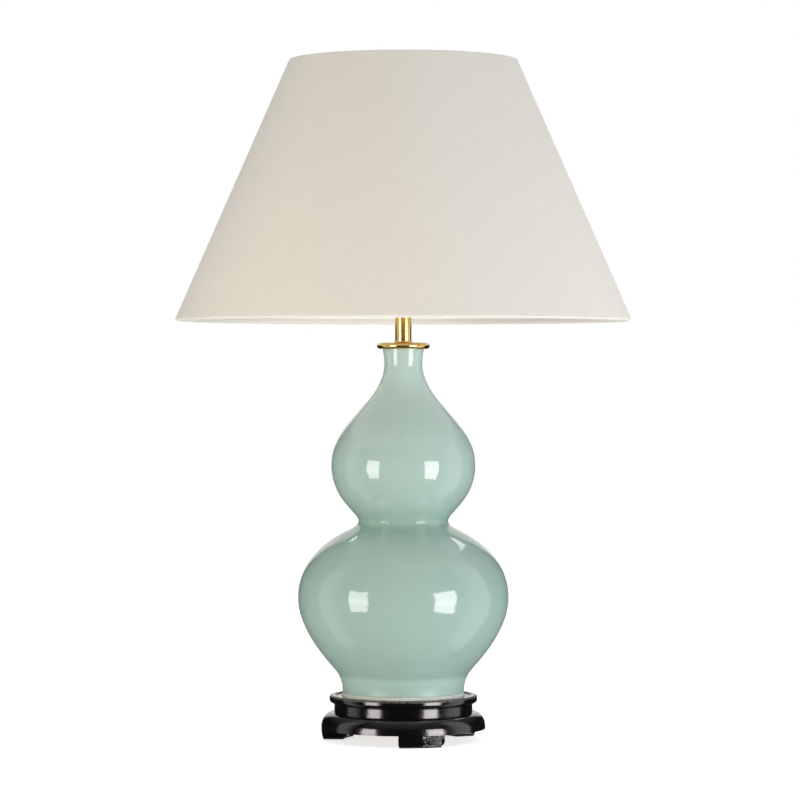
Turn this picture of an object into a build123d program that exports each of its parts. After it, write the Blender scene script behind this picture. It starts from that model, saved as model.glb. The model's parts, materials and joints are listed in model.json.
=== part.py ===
from build123d import *
from itertools import pairwise
from math import acos, asin, atan2, cos, degrees, hypot, radians, sin
import os

# Table lamp: a double gourd vase on a carved three-footed stand, with a brass cap and stem, a
# lampholder with a push bar, a wire shade carrier, and a tapered shade that lifts off.
# Millimetres. The origin is where the lamp's axis meets the table, +Z is up and -Y is the front.

# ---- Stand
PAD_T = 1.2  # felt pad under each foot
PAD_INSET = 2.5
FOOT_COUNT = 3
FOOT_H = 10.8  # from the pad up to the skirt's lower edge
FOOT_W = 47.5  # across the toe
FOOT_ROUND = 5.0  # lower corner on the carved side
FOOT_EASE = 1.2  # the other lower corner
FOOT_HEEL = 5.0  # slant of the inner lower edge
TOE_TUCK = 1.6  # how far the toe stands in from the skirt's widest line
SKIRT_H = 16.0
SKIRT_BULGE = 10.7  # from the foot of the waist out to the widest line
SKIRT_BULGE_H = 2.0  # widest line above the skirt's lower edge
LEDGE_W = 2.3
WAIST_BAND_H = 9.5
WAIST_BEAD_R = 0.65
PLATE_H = 8.0
PLATE_OVERHANG = 4.8
PLATE_BULLNOSE = 3.5
PLATE_EASE = 0.8
RIM_W = 6.5
RECESS_DEPTH = 2.7
RECESS_ROOM = 6.7  # between the vase's foot and the rim of the recess
WAIST_BAND_W = 25.2
COVER_LEDGE_W = 10.3
COVER_T = 2.0
COVER_FIT = 0.2
COVER_SCREW_R = 1.3
COVER_SCREW_HEAD_R = 2.7
COVER_SCREW_L = 9.0
SCREW_FIT = 0.05

# ---- Cable outlet at the back of the stand
CABLE_BORE_R = 3.2
BUSH_WALL = 0.9
BUSH_FLANGE_W = 1.7
BUSH_FLANGE_T = 1.5
BUSH_BARREL_L = 12.5
BUSH_FIT = 0.1
BUSH_SINK = 3.2  # its seat, in from the skirt's widest line

# ---- Vase: radii, and the rise from each station to the next
GASKET_T = 0.8
GASKET_W = 7.0
VASE_WALL = 4.5
VASE_FLOOR_T = 6.0
VASE_FOOT_R = 60.8
VASE_FOOT_RING_W = 7.5
VASE_FOOT_RING_H = 5.0
VASE_FOOT_CHAMFER = 0.8
FOOT_BAND_RISE = 6.4
CURL_FLARE = 6.6
CURL_RISE = 19.0
BELLY_R = 105.45
BELLY_RISE = 74.0
SHOULDER_STEP = 12.65
SHOULDER_RISE = 66.0
WAIST_R = 44.95
WAIST_RISE = 10.4
CROWN_R = 72.1
CROWN_RISE = 55.1
NECK_R = 19.0
NECK_RISE = 102.5
LIP_FLARE = 2.5
LIP_RISE = 16.7
LIP_ROUND = 1.5

# ---- Brass cap, bung, threaded tube and stem
CAP_T = 1.2
CAP_BEAD_R = 3.25
CAP_BEAD_FIT = 0.4  # from the lip to the rolled edge
CAP_BEAD_W = 4.55  # from the bore to the widest line
CAP_DROP = 4.4  # the edge's underside, down from the mouth
CAP_DOME_RISE = 1.3
CAP_HUB_FOOT = 2.3
CAP_HUB_WALL = 0.8
CAP_HUB_H = 2.6
BUNG_H = 14.0
BUNG_FIT = 0.3
TUBE_R = 5.0
TUBE_BORE_R = 3.8
TUBE_FIT = 0.15
TUBE_TAIL = 4.5  # below the nut
TUBE_SHORT = 0.5  # its top end below the top of the lampholder's boss
NUT_FLATS = 17.0
NUT_H = 5.0
WASHER_R = 16.0
WASHER_T = 1.6
STEM_R = 8.2
STEM_WALL = 1.4
STEM_FIT = 0.1
STEM_L = 36.0

# ---- Lampholder
HOLDER_WALL = 1.3
HOLDER_NECK_W = 1.8
HOLDER_FLARE_H = 10.0
HOLDER_BOSS_W = 3.0
HOLDER_BOSS_H = 7.5
INSERT_SEAT_W = 1.5
INSERT_FLANGE_T = 5.0
INSERT_BODY_H = 12.0
INSERT_FIT = 0.15
INSERT_WALL = 2.2
SHELL_ROOM = 2.3  # from the insert out to the shell
SHELL_H = 32.0
SHELL_LIP_H = 2.0
SHELL_ROUND = 0.6
SHELL_SHOW = 1.3  # above the upper shade ring
SCREW_SHELL_FIT = 0.45  # round the bulb's cap
SCREW_SHELL_T = 0.5
SCREW_SHELL_H = 24.0
CONTACT_T = 0.4
CONTACT_W = 6.0
CONTACT_FOOT = 4.0
CONTACT_RUN = 5.0
CONTACT_TIP = 2.5
CONTACT_RISE = 2.6
RING_FLANGE_W = 7.0
RING_FLANGE_T = 2.5
RING_COLLAR_W = 3.5
RING_COLLAR_H = 5.5
RING_FIT = 0.15

# ---- Push bar switch
BAR_R = 2.2
BAR_ROOM_BELOW = 3.7
BAR_ROOM_ABOVE = 1.4
BAR_FIT = 0.08
BAR_TRAVEL = 5.0
BUTTON_R = 3.3
BUTTON_L = 4.0
BUTTON_GAP = 0.3

# ---- Bulb, with heights above its own contact
BULB_GAP = 0.3  # above the centre contact
BULB_R = 30.0
BULB_TIP_R = 4.6
BULB_TIP_H = 1.6
BULB_INSULATOR_R = 11.0
BULB_INSULATOR_H = 3.4
BULB_CAP_R = 13.1
BULB_CAP_H = 17.5
BULB_CAP_EASE = 1.5
BULB_CAP_FLARE = 1.0
BULB_CAP_FLARE_H = 2.5
BULB_CAP_T = 0.5
BULB_HOUSING_H = 26.0
BULB_HOUSING_PULL = 0.5
BULB_DOME_LIP = 1.6
BULB_DOME_RISE = 26.5
BULB_WALL = 1.0

# ---- Shade carrier
CARRIER_FIT = 0.2  # above and below its base ring
CARRIER_RING_T = 1.5
CARRIER_RIM = 3.2  # out past the shade rings
CARRIER_BORE_FIT = 0.4
CARRIER_H = 178.0  # base ring to top ring
CARRIER_KNEE_ROOM = 14.0  # from the bulb out to the legs' knees
CARRIER_KNEE_H = 27.0
CARRIER_KNEE_BEND = 16.0
CARRIER_SPLAY = 4.0  # from the knees out to the top ring
CARRIER_LEGS = 3
WIRE_R = 1.5

# ---- Shade
SHADE_TOP_R = 114.0
SHADE_BOTTOM_R = 228.0
SHADE_H = 259.6
FABRIC_T = 0.8
BACKING_T = 0.8
BOND_GAP = 0.05
HEM_W = 13.0
HEM_SLOPE = 5.0  # along the shade, from the ring wire down to the backing
FITTER_FIT = 0.3
FITTER_T = 1.5
FITTER_FLANGE_W = 3.5  # inwards from the carrier's top ring
FITTER_LIP_H = 5.0
FITTER_LIP_FIT = 0.5
FITTER_DROP = 24.5  # shade's top edge above the underside of the fitter
SHADE_ARMS = 3
ARM_NOTCH_FIT = 0.7

# ---- Heights that follow
SKIRT_Z = PAD_T + FOOT_H
REBATE_Z = SKIRT_Z + COVER_FIT + COVER_T
WAIST_BAND_Z = SKIRT_Z + SKIRT_H
OUTLET_Z = (REBATE_Z + WAIST_BAND_Z) / 2
PLATE_Z = WAIST_BAND_Z + WAIST_BAND_H
RECESS_Z = PLATE_Z + PLATE_H - RECESS_DEPTH
VASE_Z = RECESS_Z + GASKET_T
CURL_Z = VASE_Z + FOOT_BAND_RISE + CURL_RISE
BELLY_Z = CURL_Z + BELLY_RISE
SHOULDER_Z = BELLY_Z + SHOULDER_RISE
WAIST_Z = SHOULDER_Z + WAIST_RISE
CROWN_Z = WAIST_Z + CROWN_RISE
NECK_Z = CROWN_Z + NECK_RISE
LIP_Z = NECK_Z + LIP_RISE
MOUTH_Z = LIP_Z + LIP_ROUND
STEM_Z = MOUTH_Z + CAP_T
HOLDER_Z = STEM_Z + STEM_L
BOSS_Z = HOLDER_Z + HOLDER_BOSS_H
BAR_Z = BOSS_Z + BAR_ROOM_BELOW + BAR_R
INSERT_Z = BAR_Z + BAR_R + BAR_ROOM_ABOVE
SHELL_Z = INSERT_Z + INSERT_FLANGE_T
UPPER_RING_Z = SHELL_Z + SHELL_H - SHELL_SHOW - RING_COLLAR_H - RING_FLANGE_T
CARRIER_Z = UPPER_RING_Z - CARRIER_FIT - CARRIER_RING_T
BULB_Z = SHELL_Z + CONTACT_T + CONTACT_RISE + BULB_GAP
CARRIER_TOP_Z = CARRIER_Z + CARRIER_H
FITTER_Z = CARRIER_TOP_Z + WIRE_R + FITTER_FIT
SHADE_TOP_Z = FITTER_Z + FITTER_DROP
SHADE_Z = SHADE_TOP_Z - SHADE_H

# ---- Radii that follow
RECESS_R = VASE_FOOT_R + RECESS_ROOM
PLATE_R = RECESS_R + RIM_W
WAIST_BAND_R = PLATE_R - PLATE_OVERHANG
LEDGE_R = WAIST_BAND_R + LEDGE_W
SKIRT_R = LEDGE_R + SKIRT_BULGE
FOOT_ARC = 2 * degrees(asin(FOOT_W / 2 / SKIRT_R))
STAND_BORE_R = WAIST_BAND_R - WAIST_BAND_W
COVER_R = STAND_BORE_R + COVER_LEDGE_W
REBATE_R = COVER_R + COVER_FIT
COVER_SCREW_CIRCLE = (STAND_BORE_R + REBATE_R) / 2
BUSH_BARREL_R = CABLE_BORE_R + BUSH_WALL
BUSH_FLANGE_R = BUSH_BARREL_R + BUSH_FLANGE_W
TUBE_HOLE_R = TUBE_R + TUBE_FIT
LIP_R = NECK_R + LIP_FLARE
CAP_BORE_R = LIP_R + CAP_BEAD_FIT
HUB_BORE_R = STEM_R + STEM_FIT
SCREW_SHELL_R = BULB_CAP_R + SCREW_SHELL_FIT  # inside
INSERT_POCKET_R = SCREW_SHELL_R + SCREW_SHELL_T + INSERT_FIT
INSERT_BODY_R = INSERT_POCKET_R + INSERT_WALL
HOLDER_INSIDE_R = INSERT_BODY_R + SHELL_ROOM
HOLDER_R = HOLDER_INSIDE_R + HOLDER_WALL
HOLDER_NECK_R = STEM_R + HOLDER_NECK_W
HOLDER_BOSS_R = TUBE_R + HOLDER_BOSS_W
RING_R = HOLDER_R + RING_FLANGE_W
RING_COLLAR_R = HOLDER_R + RING_COLLAR_W
CARRIER_RING_IN_R = HOLDER_R + CARRIER_BORE_FIT
CARRIER_RING_OUT_R = RING_R + CARRIER_RIM
CARRIER_KNEE_R = BULB_R + CARRIER_KNEE_ROOM
CARRIER_TOP_R = CARRIER_KNEE_R + CARRIER_SPLAY
FITTER_IN_R = CARRIER_TOP_R - FITTER_FLANGE_W
FITTER_LIP_IN_R = CARRIER_TOP_R + WIRE_R + FITTER_LIP_FIT
FITTER_OUT_R = FITTER_LIP_IN_R + FITTER_T

FRONT = -90  # degrees about Z; the first foot, leg and screw stand at the front

# Vase stations: radius, height, lean of the wall there (outwards for each millimetre up), and how
# far the curve follows that lean below and above the station, as shares of the rise.
VASE_STATIONS = [
    (VASE_FOOT_R, VASE_Z + FOOT_BAND_RISE, 0.0, None, 0.316),
    (VASE_FOOT_R + CURL_FLARE, CURL_Z, 0.87, 0.370, 0.335),
    (BELLY_R, BELLY_Z, 0.0, 0.407, 0.356),
    (WAIST_R + SHOULDER_STEP, SHOULDER_Z, -2.0, 0.590, 0.463),
    (WAIST_R, WAIST_Z, 0.0, 0.458, 0.125),
    (CROWN_R, CROWN_Z, 0.0, 0.609, 0.443),
    (NECK_R, NECK_Z, 0.0, 0.389, 0.30),
    (LIP_R, LIP_Z, 0.25, 0.45, None),
]
WALL_SAMPLES = 7  # points that carry the inner wall along each stretch of the outer one


def turned(*curves):
    """A solid turned about Z from a closed outline drawn in radius and height."""
    edges = [edge for curve in curves for edge in curve.edges()]
    return revolve(Plane.XZ * make_face(edges), Axis.Z)


def ring(inner_r, outer_r, low, high):
    """A plain ring of rectangular section."""
    return turned(Polyline((inner_r, low), (outer_r, low), (outer_r, high), (inner_r, high), close=True))


def peg(radius, low, high):
    """An upright round bar on the axis."""
    return Pos(0, 0, low) * extrude(Circle(radius), high - low)


def wire(path, radius=WIRE_R):
    """A round wire along a path."""
    return sweep((path ^ 0) * Circle(radius), path=path)


def around(count, piece, first=0):
    """Copies of a piece, evenly spaced about Z."""
    return [Rot(0, 0, first + 360 / count * i) * piece for i in range(count)]


def together(pieces):
    """Separate solids kept as one group."""
    return Compound(children=[solid for piece in pieces for solid in piece.solids()])


# ---- Stand


def stand_section():
    """Half the section of the turned blank that the skirt and the feet are cut from."""
    widest_z = SKIRT_Z + SKIRT_BULGE_H
    outline = Curve() + [
        Polyline(
            (LEDGE_R, WAIST_BAND_Z),
            (STAND_BORE_R, WAIST_BAND_Z),
            (STAND_BORE_R, REBATE_Z),
            (REBATE_R, REBATE_Z),
            (REBATE_R, PAD_T + FOOT_HEEL),
            (REBATE_R + FOOT_HEEL, PAD_T),
            (SKIRT_R - TOE_TUCK, PAD_T),
        ),
        TangentArc((SKIRT_R, widest_z), (SKIRT_R - TOE_TUCK, PAD_T), tangent=(0, -1)),
        EllipticalCenterArc(
            (LEDGE_R, widest_z), SKIRT_BULGE, WAIST_BAND_Z - widest_z, start_angle=0, arc_size=90
        ),
    ]
    return Plane.XZ * make_face(outline.edges())


def below_skirt():
    return peg(SKIRT_R * 2, 0, SKIRT_Z)


def stand_apron():
    """The bulging skirt, with a rebate for the cover and the hole for the cable's bush."""
    screw_holes = around(FOOT_COUNT, Pos(0, -COVER_SCREW_CIRCLE, 0) * cover_screw_hole())
    return revolve(stand_section(), Axis.Z) - below_skirt() - screw_holes - cable_hole()


def stand_foot(angle):
    """A bracket foot with radial sides, glued under the skirt and turned down to one curve with it."""
    sector = revolve(stand_section(), Axis.Z, revolution_arc=FOOT_ARC)
    foot = Rot(0, 0, FRONT - FOOT_ARC / 2) * sector & below_skirt()
    sole = foot.edges().filter_by_position(Axis.Z, PAD_T, PAD_T).filter_by(GeomType.LINE)
    foot = fillet(sole.sort_by(Axis.X)[-1], FOOT_ROUND)
    sole = foot.edges().filter_by_position(Axis.Z, PAD_T, PAD_T).filter_by(GeomType.LINE)
    foot = fillet(sole.sort_by(Axis.X)[0], FOOT_EASE)
    return Rot(0, 0, angle - FRONT) * foot


def cover_screw_hole():
    tip_z = SKIRT_Z + COVER_FIT + COVER_SCREW_L
    return peg(COVER_SCREW_R + SCREW_FIT, SKIRT_Z, tip_z + SCREW_FIT)


def outlet(radius, start, end):
    """A round bar along +Y at the height of the cable outlet."""
    return Plane(origin=(0, start, OUTLET_Z), z_dir=(0, 1, 0)) * extrude(Circle(radius), end - start)


def cable_hole():
    """The hole for the bush, with a flat seat for its flange."""
    seat = SKIRT_R - BUSH_SINK
    return outlet(BUSH_BARREL_R + BUSH_FIT, 0, SKIRT_R) + outlet(
        BUSH_FLANGE_R + BUSH_FIT, seat, SKIRT_R * 2
    )


def cable_bush():
    seat = SKIRT_R - BUSH_SINK
    start = seat - BUSH_BARREL_L
    end = seat + BUSH_FLANGE_T
    body = outlet(BUSH_BARREL_R, start, seat) + outlet(BUSH_FLANGE_R, seat, end)
    return body - outlet(CABLE_BORE_R, start, end)


def foot_pads():
    low_r = REBATE_R + FOOT_HEEL + PAD_INSET
    high_r = SKIRT_R - TOE_TUCK - PAD_INSET
    left = degrees((FOOT_EASE + PAD_INSET) / low_r)
    right = degrees((FOOT_ROUND + PAD_INSET) / low_r)
    outline = Polyline((low_r, 0), (high_r, 0), (high_r, PAD_T), (low_r, PAD_T), close=True)
    arc = FOOT_ARC - left - right
    pad = revolve(Plane.XZ * make_face(outline), Axis.Z, revolution_arc=arc)
    return together(around(FOOT_COUNT, pad, FRONT - FOOT_ARC / 2 + left))


def stand_waist():
    """The turned band between the skirt and the plate, with a fine bead at its top."""
    bead_z = PLATE_Z - WAIST_BEAD_R
    bead_low = (WAIST_BAND_R, bead_z - WAIST_BEAD_R)
    bead_high = (WAIST_BAND_R, PLATE_Z)
    return turned(
        ThreePointArc(bead_low, (WAIST_BAND_R + WAIST_BEAD_R, bead_z), bead_high),
        Polyline(bead_high, (STAND_BORE_R, PLATE_Z), (STAND_BORE_R, WAIST_BAND_Z)),
        Polyline((STAND_BORE_R, WAIST_BAND_Z), (WAIST_BAND_R, WAIST_BAND_Z), bead_low),
    )


def stand_plate():
    """The round plate that the vase stands in, with a raised rim."""
    top = PLATE_Z + PLATE_H
    outside = PLATE_R - PLATE_BULLNOSE
    return turned(
        RadiusArc((outside, PLATE_Z), (PLATE_R, PLATE_Z + PLATE_BULLNOSE), -PLATE_BULLNOSE),
        Line((PLATE_R, PLATE_Z + PLATE_BULLNOSE), (PLATE_R, top - PLATE_EASE)),
        RadiusArc((PLATE_R, top - PLATE_EASE), (PLATE_R - PLATE_EASE, top), -PLATE_EASE),
        Line((PLATE_R - PLATE_EASE, top), (RECESS_R + PLATE_EASE, top)),
        RadiusArc((RECESS_R + PLATE_EASE, top), (RECESS_R, top - PLATE_EASE), -PLATE_EASE),
        Polyline((RECESS_R, top - PLATE_EASE), (RECESS_R, RECESS_Z), (TUBE_HOLE_R, RECESS_Z)),
        Polyline((TUBE_HOLE_R, RECESS_Z), (TUBE_HOLE_R, PLATE_Z), (outside, PLATE_Z)),
    )


def base_cover():
    low = SKIRT_Z + COVER_FIT
    cover = peg(COVER_R, low, low + COVER_T)
    return cover - around(FOOT_COUNT, Pos(0, -COVER_SCREW_CIRCLE, 0) * cover_screw(SCREW_FIT))


def cover_screw(growth=0.0):
    """A countersunk wood screw, head down, or the room for one."""
    low = SKIRT_Z + COVER_FIT
    shank_r = COVER_SCREW_R + growth
    head_r = COVER_SCREW_HEAD_R + growth
    return turned(
        Polyline(
            (0, low),
            (head_r, low),
            (shank_r, low + head_r - shank_r),
            (shank_r, low + COVER_SCREW_L),
            (0, low + COVER_SCREW_L),
            close=True,
        )
    )


def base_cover_screws():
    return together(around(FOOT_COUNT, Pos(0, -COVER_SCREW_CIRCLE, 0) * cover_screw()))


def base_washer():
    return ring(TUBE_HOLE_R, WASHER_R, PLATE_Z - WASHER_T, PLATE_Z)


def base_nut():
    nut = extrude(RegularPolygon(NUT_FLATS / 2, 6, major_radius=False), NUT_H)
    return Pos(0, 0, PLATE_Z - WASHER_T - NUT_H) * (nut - extrude(Circle(TUBE_HOLE_R), NUT_H))


# ---- Vase


def vase_gasket():
    outside = VASE_FOOT_R - VASE_FOOT_CHAMFER
    return ring(outside - GASKET_W, outside, RECESS_Z, VASE_Z)


def vase_stretches():
    """The curves of the outer wall between stations, from the foot band up to the lip."""
    curves = []
    for (low_r, low_z, low_lean, _, leave), (high_r, high_z, high_lean, arrive, _) in pairwise(
        VASE_STATIONS
    ):
        rise = high_z - low_z
        leaving = Vector(low_lean, 1).normalized() * rise * leave
        arriving = Vector(high_lean, 1).normalized() * rise * arrive
        low = Vector(low_r, low_z)
        high = Vector(high_r, high_z)
        curves.append(Bezier(low, low + leaving, high - arriving, high))
    return curves


def inside_of(curve):
    """The curve that runs one wall thickness inside another."""
    shares = [i / (WALL_SAMPLES - 1) for i in range(WALL_SAMPLES)]
    tangents = [curve.tangent_at(share) for share in shares]
    points = [
        curve.position_at(share) + Vector(-tangent.Y, tangent.X) * VASE_WALL
        for share, tangent in zip(shares, tangents)
    ]
    return Spline(*points, tangents=(tangents[0], tangents[-1]))


def vase():
    """A slip-cast double gourd with an even wall, a foot ring and a turned-out lip."""
    stretches = vase_stretches()
    heel = VASE_FOOT_R - VASE_FOOT_CHAMFER
    outer = turned(
        Polyline((0, VASE_Z), (heel, VASE_Z), (VASE_FOOT_R, VASE_Z + VASE_FOOT_CHAMFER), stretches[0] @ 0),
        *stretches,
        RadiusArc(stretches[-1] @ 1, (LIP_R - LIP_ROUND, MOUTH_Z), -LIP_ROUND),
        Polyline((LIP_R - LIP_ROUND, MOUTH_Z), (0, MOUTH_Z), (0, VASE_Z)),
    )
    inner = [inside_of(curve) for curve in stretches]
    bottom = inner[0] @ 0
    mouth = inner[-1] @ 1
    cavity = turned(
        Line((0, bottom.Y), bottom),
        *inner,
        Polyline(mouth, (mouth.X, MOUTH_Z), (0, MOUTH_Z), (0, bottom.Y)),
    )
    floor_z = VASE_Z + VASE_FOOT_RING_H + VASE_FLOOR_T
    under_foot = peg(VASE_FOOT_R - VASE_FOOT_RING_W, VASE_Z, VASE_Z + VASE_FOOT_RING_H)
    return outer - (cavity - peg(BELLY_R, VASE_Z, floor_z)) - under_foot - peg(TUBE_HOLE_R, VASE_Z, floor_z)


def neck_bung():
    return ring(TUBE_HOLE_R, NECK_R - VASE_WALL - BUNG_FIT, MOUTH_Z - BUNG_H, MOUTH_Z)


def vase_cap():
    """A spun brass cap: a shallow dome, a fat rolled edge that hides the lip and a hub for the stem."""
    inset = CAP_BEAD_W - CAP_BEAD_R
    cut = degrees(acos(inset / CAP_BEAD_R))
    hub_r = HUB_BORE_R + CAP_HUB_WALL
    foot_r = hub_r + CAP_HUB_FOOT
    dome_z = STEM_Z + CAP_DOME_RISE
    hub_z = STEM_Z + CAP_HUB_H
    centre = (CAP_BORE_R + inset, MOUTH_Z - CAP_DROP + CAP_BEAD_R)
    bead = CenterArc(centre, CAP_BEAD_R, 180 + cut, 270 - cut)
    crown = bead @ 1
    return turned(
        Polyline((TUBE_HOLE_R, MOUTH_Z), (CAP_BORE_R, MOUTH_Z), bead @ 0),
        bead,
        Bezier(crown, ((crown.X + foot_r) / 2, crown.Y), (foot_r, dome_z)),
        Bezier((foot_r, dome_z), (hub_r, dome_z), (hub_r, hub_z)),
        Polyline((hub_r, hub_z), (HUB_BORE_R, hub_z), (HUB_BORE_R, STEM_Z), (TUBE_HOLE_R, STEM_Z)),
        Line((TUBE_HOLE_R, STEM_Z), (TUBE_HOLE_R, MOUTH_Z)),
    )


def threaded_tube():
    low = PLATE_Z - WASHER_T - NUT_H - TUBE_TAIL
    return ring(TUBE_BORE_R, TUBE_R, low, BOSS_Z - TUBE_SHORT)


def stem_tube():
    return ring(STEM_R - STEM_WALL, STEM_R, STEM_Z, HOLDER_Z)


# ---- Lampholder


def holder_cup():
    """The lower cover: a threaded boss inside, a flared wall, and holes for the push bar."""
    seat_r = HOLDER_INSIDE_R - INSERT_SEAT_W
    flare_z = HOLDER_Z + HOLDER_FLARE_H
    inner_flare_z = flare_z + HOLDER_WALL / 2
    floor_z = HOLDER_Z + HOLDER_WALL
    cup = turned(
        Line((TUBE_HOLE_R, HOLDER_Z), (HOLDER_NECK_R, HOLDER_Z)),
        Bezier((HOLDER_NECK_R, HOLDER_Z), (HOLDER_R, HOLDER_Z), (HOLDER_R, flare_z)),
        Polyline((HOLDER_R, flare_z), (HOLDER_R, SHELL_Z), (HOLDER_INSIDE_R, SHELL_Z)),
        Polyline((HOLDER_INSIDE_R, SHELL_Z), (HOLDER_INSIDE_R, INSERT_Z), (seat_r, INSERT_Z)),
        Line((seat_r, INSERT_Z), (seat_r, inner_flare_z)),
        Bezier((seat_r, inner_flare_z), (seat_r, floor_z), (HOLDER_NECK_R, floor_z)),
        Polyline((HOLDER_NECK_R, floor_z), (HOLDER_BOSS_R, floor_z), (HOLDER_BOSS_R, BOSS_Z)),
        Polyline((HOLDER_BOSS_R, BOSS_Z), (TUBE_HOLE_R, BOSS_Z), (TUBE_HOLE_R, HOLDER_Z)),
    )
    return cup - bar_rod(BAR_R + BAR_FIT, -HOLDER_R * 2, HOLDER_R * 2)


def holder_insert():
    """The ceramic block that carries the contacts."""
    flange_r = HOLDER_INSIDE_R - INSERT_FIT
    top = SHELL_Z + INSERT_BODY_H
    return turned(
        Polyline(
            (0, INSERT_Z),
            (flange_r, INSERT_Z),
            (flange_r, SHELL_Z),
            (INSERT_BODY_R, SHELL_Z),
            (INSERT_BODY_R, top),
            (INSERT_POCKET_R, top),
            (INSERT_POCKET_R, SHELL_Z),
            (0, SHELL_Z),
            close=True,
        )
    )


def holder_shell():
    """The outer sleeve, which clamps the insert and takes the shade rings."""
    top = SHELL_Z + SHELL_H
    lip_r = INSERT_BODY_R + INSERT_FIT
    lip_z = SHELL_Z + SHELL_LIP_H
    return turned(
        Polyline((lip_r, SHELL_Z), (HOLDER_R, SHELL_Z), (HOLDER_R, top - SHELL_ROUND)),
        RadiusArc((HOLDER_R, top - SHELL_ROUND), (HOLDER_R - SHELL_ROUND, top), -SHELL_ROUND),
        Polyline(
            (HOLDER_R - SHELL_ROUND, top),
            (HOLDER_INSIDE_R, top),
            (HOLDER_INSIDE_R, lip_z),
            (lip_r, lip_z),
            (lip_r, SHELL_Z),
        ),
    )


def screw_shell():
    return ring(SCREW_SHELL_R, SCREW_SHELL_R + SCREW_SHELL_T, SHELL_Z, SHELL_Z + SCREW_SHELL_H)


def centre_contact():
    """A springy tongue that rises to the bulb's tip."""
    low = SHELL_Z
    high = SHELL_Z + CONTACT_RISE
    heel = -CONTACT_TIP - CONTACT_RUN
    lower_line = [(heel - CONTACT_FOOT, low), (heel, low), (-CONTACT_TIP, high), (CONTACT_TIP, high)]
    upper_line = [(x, z + CONTACT_T) for x, z in reversed(lower_line)]
    tongue = make_face(Polyline(*lower_line, *upper_line, close=True).edges())
    return Pos(0, CONTACT_W / 2, 0) * extrude(Plane.XZ * tongue, CONTACT_W)


def shade_ring(flange_z, collar_z):
    """A threaded ring whose flange faces the carrier."""
    bore_r = HOLDER_R + RING_FIT
    flange = ring(bore_r, RING_R, flange_z, flange_z + RING_FLANGE_T)
    return flange + ring(bore_r, RING_COLLAR_R, collar_z, collar_z + RING_COLLAR_H)


def shade_ring_lower():
    flange_z = CARRIER_Z - CARRIER_FIT - RING_FLANGE_T
    return shade_ring(flange_z, flange_z - RING_COLLAR_H)


def shade_ring_upper():
    return shade_ring(UPPER_RING_Z, UPPER_RING_Z + RING_FLANGE_T)


def bar_rod(radius, start, end):
    """A round bar along +X at the height of the switch."""
    return Plane(origin=(start, 0, BAR_Z), z_dir=(1, 0, 0)) * extrude(Circle(radius), end - start)


def switch_bar():
    """The push bar, stored against its stop on the left so that it travels to the right."""
    left = -HOLDER_R - BUTTON_GAP - BAR_TRAVEL
    right = HOLDER_R + BUTTON_GAP
    buttons = bar_rod(BUTTON_R, left - BUTTON_L, left) + bar_rod(BUTTON_R, right, right + BUTTON_L)
    return bar_rod(BAR_R, left, right) + buttons


# ---- Bulb

BULB_CAP_Z = BULB_Z + BULB_TIP_H + BULB_INSULATOR_H
BULB_HOUSING_Z = BULB_CAP_Z + BULB_CAP_H + BULB_CAP_FLARE_H
BULB_DOME_Z = BULB_HOUSING_Z + BULB_HOUSING_H
BULB_WIDEST_Z = BULB_DOME_Z + BULB_DOME_RISE
BULB_CAP_TOP_R = BULB_CAP_R + BULB_CAP_FLARE
BULB_DOME_EDGE_R = BULB_R - BULB_DOME_LIP


def bulb_contact():
    return peg(BULB_TIP_R, BULB_Z, BULB_Z + BULB_TIP_H)


def bulb_insulator():
    return turned(
        Polyline(
            (0, BULB_Z + BULB_TIP_H),
            (BULB_TIP_R, BULB_Z + BULB_TIP_H),
            (BULB_INSULATOR_R, BULB_CAP_Z),
            (0, BULB_CAP_Z),
            close=True,
        )
    )


def bulb_cap():
    """The metal screw cap, a thin cup with its open end up."""
    shoulder_z = BULB_CAP_Z + BULB_CAP_EASE
    thread_top = BULB_CAP_Z + BULB_CAP_H
    inside_r = BULB_CAP_R - BULB_CAP_T
    return turned(
        Polyline(
            (0, BULB_CAP_Z),
            (BULB_INSULATOR_R, BULB_CAP_Z),
            (BULB_CAP_R, shoulder_z),
            (BULB_CAP_R, thread_top),
            (BULB_CAP_TOP_R, BULB_HOUSING_Z),
            (BULB_CAP_TOP_R - BULB_CAP_T, BULB_HOUSING_Z),
            (inside_r, thread_top),
            (inside_r, shoulder_z),
            (0, shoulder_z),
            close=True,
        )
    )


def housing_curve(inset):
    """The housing's side, from the cap up to the dome."""
    low = (BULB_CAP_TOP_R - inset, BULB_HOUSING_Z)
    high = (BULB_DOME_EDGE_R - inset, BULB_DOME_Z)
    reach = BULB_HOUSING_H * BULB_HOUSING_PULL
    return Bezier(low, (low[0], low[1] + reach), (high[0] - reach / 4, high[1] - reach / 2), high)


def bulb_housing():
    outside = housing_curve(0)
    inside = housing_curve(BULB_WALL * 2)
    return turned(
        outside,
        Line(outside @ 1, inside @ 1),
        inside,
        Line(inside @ 0, outside @ 0),
    )


def dome(inset):
    """The opal dome, solid: out to the widest line, then half a sphere."""
    radius = BULB_R - inset
    edge = (BULB_DOME_EDGE_R - inset, BULB_DOME_Z)
    top = (0, BULB_WIDEST_Z + radius)
    return turned(
        Bezier(edge, (radius, BULB_DOME_Z + BULB_DOME_RISE / 2), (radius, BULB_WIDEST_Z)),
        RadiusArc((radius, BULB_WIDEST_Z), top, -radius),
        Polyline(top, (0, BULB_DOME_Z), edge),
    )


def bulb_dome():
    return dome(0) - dome(BULB_WALL)


# ---- Shade carrier


def carrier_base_ring():
    return ring(CARRIER_RING_IN_R, CARRIER_RING_OUT_R, CARRIER_Z, CARRIER_Z + CARRIER_RING_T)


def carrier_top_ring():
    return Pos(0, 0, CARRIER_TOP_Z) * Torus(CARRIER_TOP_R, WIRE_R)


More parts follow.
